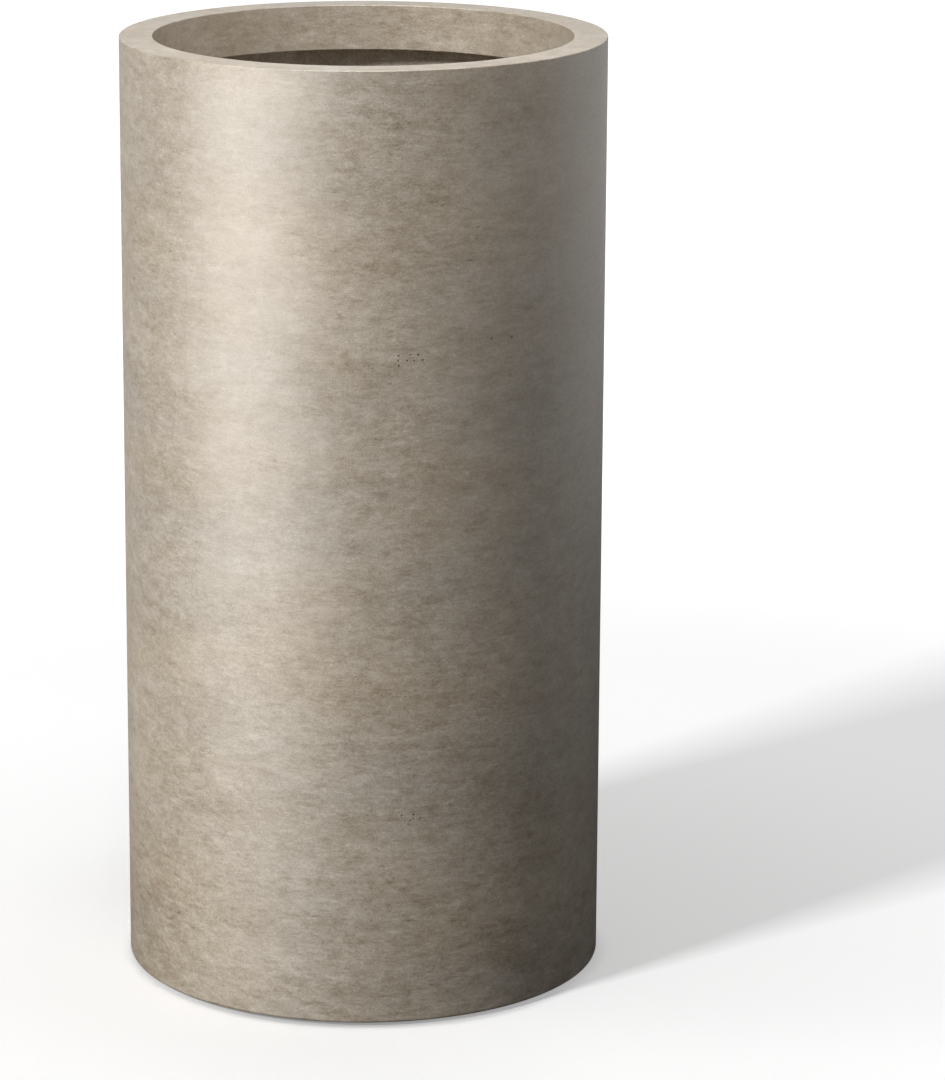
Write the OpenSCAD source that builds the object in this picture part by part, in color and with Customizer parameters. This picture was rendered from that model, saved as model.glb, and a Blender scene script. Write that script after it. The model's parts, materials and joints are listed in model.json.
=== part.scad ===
// Tall cylindrical concrete planter, cast in glass fibre reinforced concrete.
// Millimetres, +Z up. The origin is on the ground, on the planter's own axis.

/* [Overall size] */
// Outside diameter of the planter
outer_d = 406.4; // [300:0.1:600]
// Height of the rim above the ground
overall_h = 800; // [400:1:1000]
// Gap between the ground and the wall's bottom edge
ground_gap = 3; // [1:0.5:15]

/* [Wall] */
// Thickness of the fine weathered face coat
face_t = 3; // [2:0.5:6]
// Thickness of the fibre concrete backing wall
backing_t = 9; // [6:0.5:20]
// Thickness of the glass fibre scrim inside the backing wall
scrim_t = 0.8; // [0.5:0.1:1.5]
// Concrete between the scrim and the backing wall's outer face
scrim_cover = 3; // [2:0.5:4]
// Distance that the scrim stops short of the backing wall's ends
scrim_end_cover = 12; // [5:1:40]
// Rounding of the wall's bottom outer edge
bottom_round = 2.5; // [0.5:0.1:3]

/* [Rim] */
// Height of the straight inner face below the rim
lip_h = 39; // [20:1:80]
// Width of the core that thickens the wall into a rim
core_w = 13; // [10:0.5:40]
// Rounding of the rim's edges
rim_round = 1; // [0.5:0.1:3]
// Wire diameter of the hoop cast into the core
hoop_wire_d = 5; // [3:0.5:8]

/* [Floor] */
// Thickness of the floor slab
floor_t = 25; // [24:0.5:50]
// Height of the slab's underside above the wall's bottom edge
base_recess = 5; // [2:0.5:15]
// Leg of the mortar fillet between the slab and the wall
fillet_leg = 16; // [8:1:30]
// Thickness of the mortar fillet's two thin edges
fillet_edge = 1.5; // [0.5:0.1:3]
// Depth of the step in the slab's edge that keys the fillet
fillet_key = 2; // [1:0.5:3]
// Wire diameter of the grid cast into the slab
grid_wire_d = 4; // [3:0.5:5]
// Distance between neighbouring wires of the grid
grid_pitch = 80; // [45:1:100]
// Number of wires each way
grid_wires = 4; // [2:2:4]
// Concrete between the grid and the slab's top face
grid_cover = 4; // [3:0.5:10]
// Concrete between the ends of the wires and the slab's edge
grid_end_cover = 15; // [8:1:40]

/* [Drain] */
// Bore of the drain sleeve
drain_d = 26; // [15:0.5:50]
// Thickness of the drain sleeve
sleeve_t = 2; // [1:0.1:4]
// Width of the collar round the sleeve's top
collar_w = 4; // [2:0.5:10]
// Thickness of the collar
collar_t = 1.5; // [1:0.1:4]
// Overlap of the plug's head on the rim of the drain bore
head_overlap = 5; // [2:0.5:10]
// Thickness of the plug's head
head_t = 4; // [3:0.5:8]
// Length of the plug below its head
plug_stem_h = 17; // [12:0.5:22]
// Height that the plug's sealing ribs stand out from its stem
rib_h = 1.2; // [0.5:0.1:2]
// Height of each sealing rib along the stem
rib_w = 3; // [2:0.1:4]
// Running clearance between the plug's ribs and the sleeve
plug_gap = 0.05; // [0.01:0.01:0.1]
// Width of the plug's pull tab
tab_w = 18; // [10:0.5:24]
// Thickness of the pull tab
tab_t = 5; // [3:0.5:10]
// Height of the pull tab above the plug's head
tab_h = 18; // [14:0.5:40]

/* [Feet] */
// Diameter of a rubber foot
foot_d = 44; // [25:1:60]
// Diameter of the circle that the feet stand on
foot_circle_d = 290; // [150:1:310]
// Diameter of the stem that holds a foot in the slab
foot_stem_d = 12; // [8:0.5:20]
// Length of the foot's stem
foot_stem_h = 8; // [5:0.5:9]
// Clearance between the foot's stem and its socket
socket_gap = 0.1; // [0.05:0.01:0.5]
// Slope of the foot's bottom edge
foot_bevel = 1; // [0.5:0.1:2]
// Depth of the grip groove in the foot's underside
groove_h = 1; // [0.5:0.1:2]
// Width of the grip groove
groove_w = 3; // [1:0.1:4]
// Distance from the foot's edge to the grip groove
groove_inset = 8; // [3:0.5:8]

/* [Hidden] */
// Radii of the wall and the rim, from the outside in
outer_r = outer_d / 2;
backing_r = outer_r - face_t;
scrim_r = backing_r - scrim_cover;
inner_r = backing_r - backing_t;
core_r = inner_r - core_w;
mouth_r = core_r - face_t;
fillet_r = inner_r - fillet_leg;

// Heights, from the ground up
wall_z = ground_gap;
slab_z = wall_z + base_recess;
slab_top = slab_z + floor_t;
lip_z = overall_h - lip_h;
core_top = overall_h - face_t;

// Drain sleeve, its collar and the plug
drain_r = drain_d / 2;
sleeve_r = drain_r + sleeve_t;
collar_r = sleeve_r + collar_w;
head_r = drain_r + head_overlap;
rib_r = drain_r - plug_gap;
stem_r = rib_r - rib_h;
rib_step = (plug_stem_h - 2 * rib_w) / 3;
head_round = head_t / 2;

// Floor grid: the two layers sink into each other where they are welded
weld_sink = grid_wire_d / 5;
upper_wire_z = slab_top - grid_cover - grid_wire_d / 2;
lower_wire_z = upper_wire_z - grid_wire_d + weld_sink;
wire_reach = inner_r - grid_end_cover;

// Feet
foot_count = 4;
first_foot_angle = 45;
foot_r = foot_d / 2;
groove_r = foot_r - groove_inset;

// Cuts run this far past the faces that they open
overrun = 1;
$fn = 180;

// Height at which wire layer number i, 0 or 1, lies in the slab
function layer_z(i) = i == 0 ? lower_wire_z : upper_wire_z;

// Distance of wire number i from the slab's centre line
function wire_offset(i) = (i - (grid_wires - 1) / 2) * grid_pitch;

// Half length of a wire that passes the slab's centre at distance d
function wire_half(d) = sqrt(wire_reach * wire_reach - d * d);

// Rectangle in the plane that is turned into a ring, from radius r1 to r2 and height z1 to z2
module section(r1, r2, z1, z2) {
    translate([r1, z1])
        square([r2 - r1, z2 - z1]);
}

// What a rounding of radius r takes off a corner whose solid lies towards +X and +Y
module corner_waste(r) {
    difference() {
        translate([-overrun, -overrun])
            square(r + overrun);
        translate([r, r])
            circle(r);
    }
}

// Upright rod with its foot at height z
module rod(r, z, h) {
    translate([0, 0, z])
        cylinder(r = r, h = h);
}

// Places its children at the centre of foot number i
module at_foot(i) {
    rotate(first_foot_angle + i * 360 / foot_count)
        translate([foot_circle_d / 2, 0, 0])
            children();
}

// Fine skin over the outside, the rim's top and the lip's inner face, in one piece
module face_coat() {
    color("#a89c89")
        rotate_extrude()
            difference() {
                union() {
                    section(backing_r, outer_r, wall_z, overall_h);
                    section(mouth_r, outer_r, core_top, overall_h);
                    section(mouth_r, core_r, lip_z, overall_h);
                }
                translate([outer_r, overall_h])
                    rotate(180)
                        corner_waste(rim_round);
                translate([mouth_r, overall_h])
                    rotate(-90)
                        corner_waste(rim_round);
                translate([mouth_r, lip_z])
                    corner_waste(rim_round);
                translate([outer_r, wall_z])
                    rotate(90)
                        corner_waste(bottom_round);
            }
}

// Sheet of glass fibre mesh, rolled into a tube
module scrim_tube() {
    rotate_extrude()
        section(scrim_r - scrim_t, scrim_r, wall_z + scrim_end_cover, core_top - scrim_end_cover);
}

module wall_scrim() {
    color("#e4e2d8")
        scrim_tube();
}

// Fibre concrete tube that carries the face coat and holds the scrim
module wall_backing() {
    color("#8f8678")
        difference() {
            rotate_extrude()
                section(inner_r, backing_r, wall_z, core_top);
            scrim_tube();
        }
}

// Steel wire hoop in the middle of the rim's core
module hoop() {
    rotate_extrude()
        translate([(core_r + inner_r) / 2, (lip_z + core_top) / 2])
            circle(d = hoop_wire_d);
}

module rim_hoop() {
    color("#7d8288")
        hoop();
}

// Ring that thickens the top of the wall, behind the face coat
module rim_core() {
    color("#857c6e")
        difference() {
            rotate_extrude()
                section(core_r, inner_r, lip_z, core_top);
            hoop();
        }
}

// Wires that run both ways across the slab, welded where they cross
module grid() {
    for (layer = [0, 1])
        for (i = [0 : grid_wires - 1])
            rotate(layer * 90)
                translate([wire_offset(i), 0, layer_z(layer)])
                    rotate([90, 0, 0])
                        cylinder(d = grid_wire_d, h = 2 * wire_half(wire_offset(i)), center = true);
}

module floor_grid() {
    color("#7d8288")
        grid();
}

// Hole for the drain sleeve, with the seat of its collar
module drain_hole() {
    rod(sleeve_r, slab_z - overrun, floor_t + 2 * overrun);
    rod(collar_r, slab_top - collar_t, collar_t + overrun);
}

// Step round the slab's top edge, which keys the mortar fillet
module fillet_step() {
    rotate_extrude()
        section(fillet_r, inner_r + overrun, slab_top - fillet_key, slab_top + overrun);
}

// Disc that closes the bottom of the wall, set a little way up inside it
module floor_slab() {
    color("#8a8274")
        difference() {
            rod(inner_r, slab_z, floor_t);
            fillet_step();
            drain_hole();
            grid();
            for (i = [0 : foot_count - 1])
                at_foot(i)
                    rod(foot_stem_d / 2 + socket_gap, slab_z - overrun, foot_stem_h + socket_gap + overrun);
        }
}

// Hollow mortar fillet that seals the corner between the slab and the wall
module floor_fillet() {
    color("#978e80")
        rotate_extrude()
            difference() {
                section(fillet_r, inner_r, slab_top - fillet_key, slab_top + fillet_leg);
                translate([fillet_r, slab_top + fillet_leg])
                    circle(fillet_leg - fillet_edge);
            }
}

// Plastic sleeve cast into the slab, with a collar that the plug's head sits on
module drain_sleeve() {
    color("#3b3c3d")
        difference() {
            union() {
                rod(sleeve_r, slab_z, floor_t);
                rod(collar_r, slab_top - collar_t, collar_t);
            }
            rod(drain_r, slab_z - overrun, floor_t + 2 * overrun);
        }
}

// Soft stopper: a round head on the collar, a stem with two sealing ribs, and a pull tab
module drain_plug() {
    color("#2b2b2b") {
        rotate_extrude()
            difference() {
                union() {
                    section(0, head_r, slab_top, slab_top + head_t);
                    section(0, stem_r, slab_top - plug_stem_h, slab_top);
                    for (i = [1, 2])
                        section(0, rib_r, slab_top - i * (rib_step + rib_w), slab_top - i * (rib_step + rib_w) + rib_w);
                }
                translate([head_r, slab_top + head_t])
                    rotate(180)
                        corner_waste(head_round);
            }
        translate([-tab_t / 2, 0, slab_top + head_t - head_round])
            rotate([90, 0, 90])
                linear_extrude(tab_t)
                    tab_outline(tab_h + head_round);
    }
}

// Flat side of the pull tab, with a round top
module tab_outline(h) {
    translate([-tab_w / 2, 0])
        square([tab_w, h - tab_w / 2]);
    translate([0, h - tab_w / 2])
        circle(d = tab_w);
}

// Rubber foot under the slab: bevelled pad, grip groove and a stem that is pressed into its socket
module foot(i) {
    color("#2e2e2d")
        at_foot(i) {
            difference() {
                union() {
                    cylinder(r1 = foot_r - foot_bevel, r2 = foot_r, h = foot_bevel);
                    rod(foot_r, foot_bevel, slab_z - foot_bevel);
                }
                rotate_extrude()
                    section(groove_r - groove_w, groove_r, -overrun, groove_h);
            }
            rod(foot_stem_d / 2, slab_z, foot_stem_h);
        }
}

face_coat();
wall_backing();
wall_scrim();
rim_core();
rim_hoop();
floor_slab();
floor_grid();
floor_fillet();
drain_sleeve();
drain_plug();
for (i = [0 : foot_count - 1])
    foot(i);
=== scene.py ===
"""Looks of the tall cylindrical concrete planter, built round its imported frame.

Everything is in metres, +Z up, with the origin on the ground at the planter's axis.
"""

import json
import logging
import math
import random
from dataclasses import dataclass
from enum import Enum
from functools import cached_property
from typing import Any, Sequence

import bmesh
import bpy
from mathutils import Matrix, Vector
from mathutils.kdtree import KDTree


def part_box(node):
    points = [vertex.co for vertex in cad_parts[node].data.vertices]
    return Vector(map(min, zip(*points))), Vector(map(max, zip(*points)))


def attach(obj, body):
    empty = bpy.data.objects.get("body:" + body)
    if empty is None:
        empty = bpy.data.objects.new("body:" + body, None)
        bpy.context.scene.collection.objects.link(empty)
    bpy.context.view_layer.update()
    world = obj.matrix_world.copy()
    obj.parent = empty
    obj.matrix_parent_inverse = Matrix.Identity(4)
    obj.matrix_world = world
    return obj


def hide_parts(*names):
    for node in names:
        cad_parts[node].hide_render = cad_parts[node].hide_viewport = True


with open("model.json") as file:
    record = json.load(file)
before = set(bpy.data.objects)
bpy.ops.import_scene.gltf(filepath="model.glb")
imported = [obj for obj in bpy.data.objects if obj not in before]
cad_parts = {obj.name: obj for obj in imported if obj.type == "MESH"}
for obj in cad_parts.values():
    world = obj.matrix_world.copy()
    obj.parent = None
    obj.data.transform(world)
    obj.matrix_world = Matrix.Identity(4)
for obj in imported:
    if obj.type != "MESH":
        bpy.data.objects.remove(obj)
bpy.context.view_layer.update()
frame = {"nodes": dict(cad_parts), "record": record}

LOG = logging.getLogger("planter")

Colour = tuple[float, float, float]
Pair = tuple[float, float]
Settings = dict[str, Any]
Inputs = dict[str | int, Any]
Socket = bpy.types.NodeSocket

MM = 0.001
WHITE: Colour = (1.0, 1.0, 1.0)
ROUNDING_ROWS = 6
BESIDE_ROUNDING = 0.3 * MM


class Value:
    """A number socket of a node tree. Arithmetic on it adds Math nodes."""

    def __init__(self, tree: bpy.types.NodeTree, socket: Socket) -> None:
        """Wraps one output socket of a node tree."""
        self.tree = tree
        self.socket = socket

    def math(self, operation: str, *others: "Value | float") -> "Value":
        """Adds a Math node that takes this value and the others.

        Args:
            operation: The Math node's operation.
            others: Numbers or values for its other sockets.

        Returns:
            The result.
        """
        node = self.tree.nodes.new("ShaderNodeMath")
        node.operation = operation
        for socket, term in zip(node.inputs, (self, *others)):
            if isinstance(term, Value):
                self.tree.links.new(term.socket, socket)
            else:
                socket.default_value = term
        return Value(self.tree, node.outputs[0])

    def __add__(self, other: "Value | float") -> "Value":
        """This value plus another."""
        return self.math("ADD", other)

    def __sub__(self, other: "Value | float") -> "Value":
        """This value less another."""
        return self.math("SUBTRACT", other)

    def __rsub__(self, other: float) -> "Value":
        """A number less this value."""
        return self.math("MULTIPLY_ADD", -1.0, other)

    def __mul__(self, other: "Value | float") -> "Value":
        """This value times another."""
        return self.math("MULTIPLY", other)

    def __truediv__(self, other: "Value | float") -> "Value":
        """This value over another."""
        return self.math("DIVIDE", other)

    __radd__ = __add__
    __rmul__ = __mul__

    def limited(self, low: float = 0.0, high: float = 1.0) -> "Value":
        """This value, kept between two numbers."""
        return self.math("MAXIMUM", low).math("MINIMUM", high)

    def ramp(self, start: float, end: float) -> "Value":
        """0 where this value is at start, 1 at end, which may be the lower one, and smooth between."""
        t = ((self - start) / (end - start)).limited()
        return t * t * (3.0 - 2.0 * t)


class Graph:
    """Adds nodes to one shader or geometry node tree."""

    def __init__(self, tree: bpy.types.NodeTree) -> None:
        """Empties a tree, to fill it."""
        self.tree = tree
        tree.nodes.clear()

    def add(
        self, kind: str, settings: Settings | None = None, inputs: Inputs | None = None
    ) -> bpy.types.Node:
        """Adds one node.

        Args:
            kind: The node's type.
            settings: Its properties, which are set first.
            inputs: Numbers, colours, vectors or links for its sockets, by name or number.

        Returns:
            The node.
        """
        node = self.tree.nodes.new(kind)
        for name, setting in (settings or {}).items():
            setattr(node, name, setting)
        for name, given in (inputs or {}).items():
            socket = node.inputs[name]
            if isinstance(given, Value):
                given = given.socket
            if isinstance(given, Socket):
                self.tree.links.new(given, socket)
            else:
                socket.default_value = given
        return node

    def value(self, kind: str, settings: Settings, inputs: Inputs, output: str) -> Value:
        """Adds one node and gives one of its outputs as a value."""
        return Value(self.tree, self.add(kind, settings, inputs).outputs[output])

    def vector(self, operation: str, inputs: Inputs) -> Socket:
        """Adds a Vector Math node and gives its vector."""
        return self.add("ShaderNodeVectorMath", {"operation": operation}, inputs).outputs[0]

    def scaled(self, vector: Socket, factor: Value) -> Socket:
        """A vector or a colour times a value."""
        return self.vector("SCALE", {0: vector, "Scale": factor})

    def combined(
        self, x: Value | float = 0.0, y: Value | float = 0.0, z: Value | float = 0.0
    ) -> Socket:
        """A vector from three values."""
        return self.add("ShaderNodeCombineXYZ", None, {"X": x, "Y": y, "Z": z}).outputs[0]

    def parts(self, vector: Socket) -> list[Value]:
        """A vector's three values."""
        split = self.add("ShaderNodeSeparateXYZ", None, {0: vector})
        return [Value(self.tree, output) for output in split.outputs]


@dataclass(frozen=True)
class Marks:
    """Random marks of one kind.

    Attributes:
        scale: Cells to a metre.
        detail: How many finer layers are added.
        roughness: How strong each finer layer is.
        stretch: How many times longer than high they are, over the finish's own streak.
        shift: How far the pattern is moved, so that patterns differ.
        slanted: True if they slant a little here and there.
    """

    scale: float
    detail: float
    roughness: float
    stretch: float = 1.0
    shift: float = 0.0
    slanted: bool = False


CLOUDS = Marks(8.0, 2.0, 0.5, 1.5, 13.7)
DRIFT = Marks(5.0, 3.0, 0.6, 1.0, 7.3)
MOTTLE = Marks(50.0, 5.0, 1.0)
STROKES = Marks(44.0, 5.0, 1.0, 2.3, 5.3, True)
PATCHES = Marks(26.0, 3.0, 0.6, 1.8, 9.2, True)
DASHES = Marks(130.0, 3.0, 0.6, 2.6, 1.4, True)
GRAIN = Marks(900.0, 1.0, 0.7)
SWAY = Marks(12.0, 1.0, 0.5)
SWAY_LIFT = 5.0 * MM
RUBBER_CELLS = Marks(1400.0, 2.0, 0.6)
DUST_SMEARS = Marks(60.0, 4.0, 0.7, 1.0, 2.0)
ZINC_SPANGLE = Marks(260.0, 3.0, 0.7)
RUST_BLOOM = Marks(35.0, 5.0, 0.7, 1.0, 1.0)
GLASS_THREADS = Marks(300.0, 3.0, 0.7, 0.2, 4.0)
PASTE_DAUBS = Marks(45.0, 4.0, 0.7)


def rgba(colour: Colour) -> tuple[float, float, float, float]:
    """An opaque colour with its fourth number."""
    return (*colour, 1.0)


class ShaderGraph(Graph):
    """Node graph of one surface material."""

    def __init__(self, name: str) -> None:
        """Makes an empty material.

        Args:
            name: The material's name.
        """
        self.material = bpy.data.materials.new(name)
        self.material.use_nodes = True
        super().__init__(self.material.node_tree)
        self.place = self.add("ShaderNodeTexCoord").outputs["Object"]

    @cached_property
    def swayed(self) -> Socket:
        """The place on the piece, lifted and lowered so that level marks there slant."""
        return self.vector("ADD", {0: self.place, 1: self.combined(z=self.marks(SWAY) * SWAY_LIFT)})

    def marks(self, kind: Marks, streak: float = 1.0) -> Value:
        """Smooth random pattern, centred on 0.

        Args:
            kind: The kind of marks.
            streak: How much longer than high the finish's marks are.

        Returns:
            The pattern, from about -0.5 to 0.5.
        """
        place = self.swayed if kind.slanted else self.place
        flat = self.vector("MULTIPLY", {0: place, 1: (1.0, 1.0, kind.stretch * streak)})
        shifts = (kind.shift, kind.shift * 1.7, kind.shift * 0.6)
        inputs = {
            "Vector": self.vector("ADD", {0: flat, 1: shifts}),
            "Scale": kind.scale,
            "Detail": kind.detail,
            "Roughness": kind.roughness,
        }
        return self.value("ShaderNodeTexNoise", {"noise_dimensions": "3D"}, inputs, "Fac") - 0.5

    def mixed(self, amount: Value, first: Any, second: Any) -> Socket:
        """The first colour where the amount is 0, the second where it is 1, and a mix between."""
        settings = {"data_type": "RGBA", "blend_type": "MIX"}
        return self.add("ShaderNodeMix", settings, {0: amount, 6: first, 7: second}).outputs[2]

    def relief(self, height: Value, depth: float) -> Socket:
        """Bumped normal from a height pattern, of which 1 stands out by a depth in metres."""
        inputs = {"Strength": 1.0, "Distance": depth, "Height": height}
        return self.add("ShaderNodeBump", None, inputs).outputs[0]

    def finish(self, inputs: Inputs) -> bpy.types.Material:
        """Adds the surface shader and the output.

        Args:
            inputs: The shader's sockets, constant or fed by a pattern.

        Returns:
            The finished material.
        """
        shader = self.add("ShaderNodeBsdfPrincipled", None, inputs)
        self.add("ShaderNodeOutputMaterial", None, {"Surface": shader.outputs[0]})
        return self.material


@dataclass(frozen=True)
class Finish:
    """Finish of a piece.

    Attributes:
        name: The material's name.
        slot: The record's material slot.
        tone: Mean colour.
    """

    name: str
    slot: str
    tone: Colour

    def material(self) -> bpy.types.Material:
        """Builds the material, as each kind of finish does."""
        raise NotImplementedError


class Surface(Enum):
    """How a concrete surface was left, with the depth of its relief."""

    SEALED_FACE = 0.25 * MM
    ROLLED = 1.6 * MM
    TROWELLED = 0.9 * MM


@dataclass(frozen=True)
class Concrete(Finish):
    """Concrete: its tones, its streaks and its sheen.

    Attributes:
        grey: Colour of the cooler clouds.
        surface: How the surface was left.
        contrast: Strength of the mottling at every scale.
        streak: How much longer than high its marks are.
        roughness: Mean roughness.
        seal: Weight of the sealer's coat.
        warm_dark: What the darkest marks make of the tone.
        cool_pale: What the palest marks make of the tone.
        scuffs: Level of the patches where a scuff begins and where it is whole.
        dark_dashes: The same for the dark dashes.
        light_dashes: The same for the light dashes.
    """

    grey: Colour
    surface: Surface
    contrast: float
    streak: float
    roughness: float
    seal: float = 0.0
    warm_dark: Colour = (0.45, 0.34, 0.17)
    cool_pale: Colour = (1.55, 1.66, 1.83)
    scuffs: Pair = (0.06, 0.2)
    dark_dashes: Pair = (0.1, 0.17)
    light_dashes: Pair = (-0.12, -0.2)

    def material(self) -> bpy.types.Material:
        """Builds the material.

        Returns:
            The material.
        """
        g = ShaderGraph(self.name)
        clouds, drift, mottle, strokes, patches, dashes = (
            g.marks(kind, self.streak) for kind in (CLOUDS, DRIFT, MOTTLE, STROKES, PATCHES, DASHES)
        )
        grain = g.marks(GRAIN)
        scuffed = patches.ramp(*self.scuffs)
        dark = dashes.ramp(*self.dark_dashes) * (0.2 + 0.8 * scuffed)
        light = dashes.ramp(*self.light_dashes)
        level = self.contrast * (
            clouds * 0.9
            + mottle * 2.9
            + strokes * (2.5 + 1.6 * scuffed)
            + grain * 1.1
            + light * 0.2
            - dark * 0.45
            - scuffed * 0.12
        )
        tone = g.mixed((drift * 3.0 + 0.5).limited(), rgba(self.tone), rgba(self.grey))
        deep = g.vector("MULTIPLY", {0: tone, 1: self.warm_dark})
        pale = g.vector("MULTIPLY", {0: tone, 1: self.cool_pale})
        roughness = self.roughness + strokes * 0.5 + mottle * 0.4 + dark * 0.06
        height = strokes * 0.9 + mottle * 0.8 + grain * 0.15 - dark * 0.15
        return g.finish({
            "IOR": 2.1,
            "Specular Tint": rgba((1.0, 0.92, 0.83)),
            "Coat Weight": self.seal,
            "Coat Roughness": 0.5,
            "Coat IOR": 1.9,
            "Base Color": g.mixed((0.5 + level * 0.8).limited(), deep, pale),
            "Roughness": roughness.limited(0.2, 1.0),
            "Normal": g.relief(height, self.surface.value),
        })


@dataclass(frozen=True)
class Moulded(Finish):
    """Moulded rubber or plastic.

    Attributes:
        roughness: Mean roughness.
        dust: Strength of the pale dust on it.
        dust_tone: Colour of the dust.
    """

    roughness: float
    dust: float
    dust_tone: Colour = (0.33, 0.30, 0.25)

    def material(self) -> bpy.types.Material:
        """Builds the material.

        Returns:
            The material.
        """
        g = ShaderGraph(self.name)
        cells, smears = g.marks(RUBBER_CELLS), g.marks(DUST_SMEARS)
        dusted = smears.ramp(-0.05, 0.35) * self.dust
        return g.finish({
            "IOR": 1.5,
            "Base Color": g.mixed(dusted, rgba(self.tone), rgba(self.dust_tone)),
            "Roughness": (self.roughness + smears * 0.3).limited(0.15, 1.0),
            "Normal": g.relief(cells, 0.06 * MM),
        })


@dataclass(frozen=True)
class Wire(Finish):
    """Galvanised steel wire.

    Attributes:
        rust: Share of the surface with a bloom of rust.
        bright: Colour of the brightest zinc.
        rust_tone: Colour of the rust.
    """

    rust: float
    bright: Colour = (0.62, 0.64, 0.66)
    rust_tone: Colour = (0.22, 0.09, 0.04)

    def material(self) -> bpy.types.Material:
        """Builds the material.

        Returns:
            The material.
        """
        g = ShaderGraph(self.name)
        spangle = g.marks(ZINC_SPANGLE)
        rusted = g.marks(RUST_BLOOM).ramp(0.2, 0.3) * self.rust
        zinc = g.mixed(spangle + 0.5, rgba(self.tone), rgba(self.bright))
        zinc = g.scaled(zinc, 1.0 + spangle * 0.4)
        return g.finish({
            "IOR": 1.5,
            "Base Color": g.mixed(rusted, zinc, rgba(self.rust_tone)),
            "Metallic": 1.0 - rusted,
            "Roughness": (0.45 + spangle * 0.3 + rusted * 0.4).limited(0.2, 1.0),
            "Normal": g.relief(spangle, 0.1 * MM),
        })


@dataclass(frozen=True)
class GlassFibre(Finish):
    """Glass fibre roving.

    Attributes:
        paste: Colour of the cement paste on it.
    """

    paste: Colour

    def material(self) -> bpy.types.Material:
        """Builds the material.

        Returns:
            The material.
        """
        g = ShaderGraph(self.name)
        threads = g.marks(GLASS_THREADS)
        pasted = g.marks(PASTE_DAUBS).ramp(0.0, 0.15) * 0.8
        strands = g.mixed(pasted, rgba(self.tone), rgba(self.paste))
        return g.finish({
            "IOR": 1.52,
            "Base Color": g.scaled(strands, 1.0 + threads * 0.4),
            "Roughness": (0.4 + pasted * 0.5).limited(0.2, 1.0),
            "Normal": g.relief(threads, 0.1 * MM),
        })


FACE = Concrete(
    "weathered_face", "face_concrete", (0.485, 0.398, 0.290), (0.447, 0.385, 0.306),
    Surface.SEALED_FACE, contrast=0.57, streak=1.7, roughness=0.49, seal=1.0,
)
BACKING = Concrete(
    "fibre_concrete", "fibre_concrete", (0.54, 0.475, 0.40), (0.515, 0.46, 0.395),
    Surface.ROLLED, contrast=0.5, streak=0.6, roughness=0.85,
)
CAST = Concrete(
    "cast_floor", "cast_concrete", (0.24, 0.215, 0.18), (0.215, 0.205, 0.185),
    Surface.TROWELLED, contrast=0.9, streak=1.0, roughness=0.75,
)
MORTAR = Concrete(
    "mortar_bead", "mortar", (0.28, 0.25, 0.205), (0.25, 0.235, 0.205),
    Surface.TROWELLED, contrast=0.8, streak=1.0, roughness=0.85,
)
SCRIM = GlassFibre("glass_scrim", "glass_scrim", (0.74, 0.74, 0.70), (0.40, 0.37, 0.32))
STEEL = Wire("galvanised_wire", "galvanised_wire", (0.42, 0.44, 0.46), rust=0.6)
SLEEVE_PLASTIC = Moulded("sleeve_plastic", "sleeve_plastic", (0.045, 0.046, 0.05), 0.45, 0.35)
PLUG_RUBBER = Moulded("plug_rubber", "plug_rubber", (0.022, 0.022, 0.022), 0.6, 0.3)
FOOT_RUBBER = Moulded("foot_rubber", "foot_rubber", (0.028, 0.028, 0.028), 0.7, 0.25)


def placed(name: str, data: bpy.types.ID) -> bpy.types.Object:
    """Puts a mesh, a lamp or a camera into the scene.

    Args:
        name: The new object's name.
        data: What it holds.

    Returns:
        The object, at the origin.
    """
    thing = bpy.data.objects.new(name, data)
    bpy.context.scene.collection.objects.link(thing)
    return thing


@dataclass
class Profile:
    """Outline that is turned round the planter's axis, as points of radius and height.

    Attributes:
        points: The points so far.
    """

    points: list[Pair]

    @classmethod
    def start(cls, r: float, z: float) -> "Profile":
        """A new outline from one point."""
        return cls([(r, z)])

    def line(self, r: float, z: float, step: float = 0.0) -> "Profile":
        """Goes straight on to a point.

        Args:
            r: The point's radius.
            z: The point's height.
            step: Greatest distance between rows along the line, or 0 for none between.

        Returns:
            This outline.
        """
        r0, z0 = self.points[-1]
        rows = max(1, math.ceil(math.hypot(r - r0, z - z0) / step)) if step else 1
        self.points += [
            (r0 + (r - r0) * i / rows, z0 + (z - z0) * i / rows) for i in range(1, rows + 1)
        ]
        return self

    def corner(
        self, r: float, z: float, onward: Pair, rounding: float, step: float = 0.0
    ) -> "Profile":
        """Goes on to a corner and rounds it, with a close row of points on either side.

        Args:
            r: Radius of the sharp corner.
            z: Height of the sharp corner.
            onward: Any point further on past the corner.
            rounding: Radius of the rounding.
            step: Greatest distance between rows on the way, or 0 for none.

        Returns:
            This outline.
        """
        here = Vector((r, z))
        back = (Vector(self.points[-1]) - here).normalized()
        ahead = (Vector(onward) - here).normalized()
        half = back.angle(ahead) / 2
        reach = rounding / math.tan(half)
        centre = here + (back + ahead).normalized() * (rounding / math.sin(half))
        first, last = here + back * reach, here + ahead * reach
        support = min(reach, BESIDE_ROUNDING)
        self.line(*(first + back * support), step)
        self.line(*first)
        start, turn = first - centre, (first - centre).angle_signed(last - centre)
        for i in range(1, ROUNDING_ROWS + 1):
            rotated = Matrix.Rotation(-turn * i / ROUNDING_ROWS, 2) @ start
            self.points.append(tuple(centre + rotated))
        return self.line(*(last + ahead * support))

    def closed(self) -> "Profile":
        """Goes straight back to the first point."""
        return self.line(*self.points[0])


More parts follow.
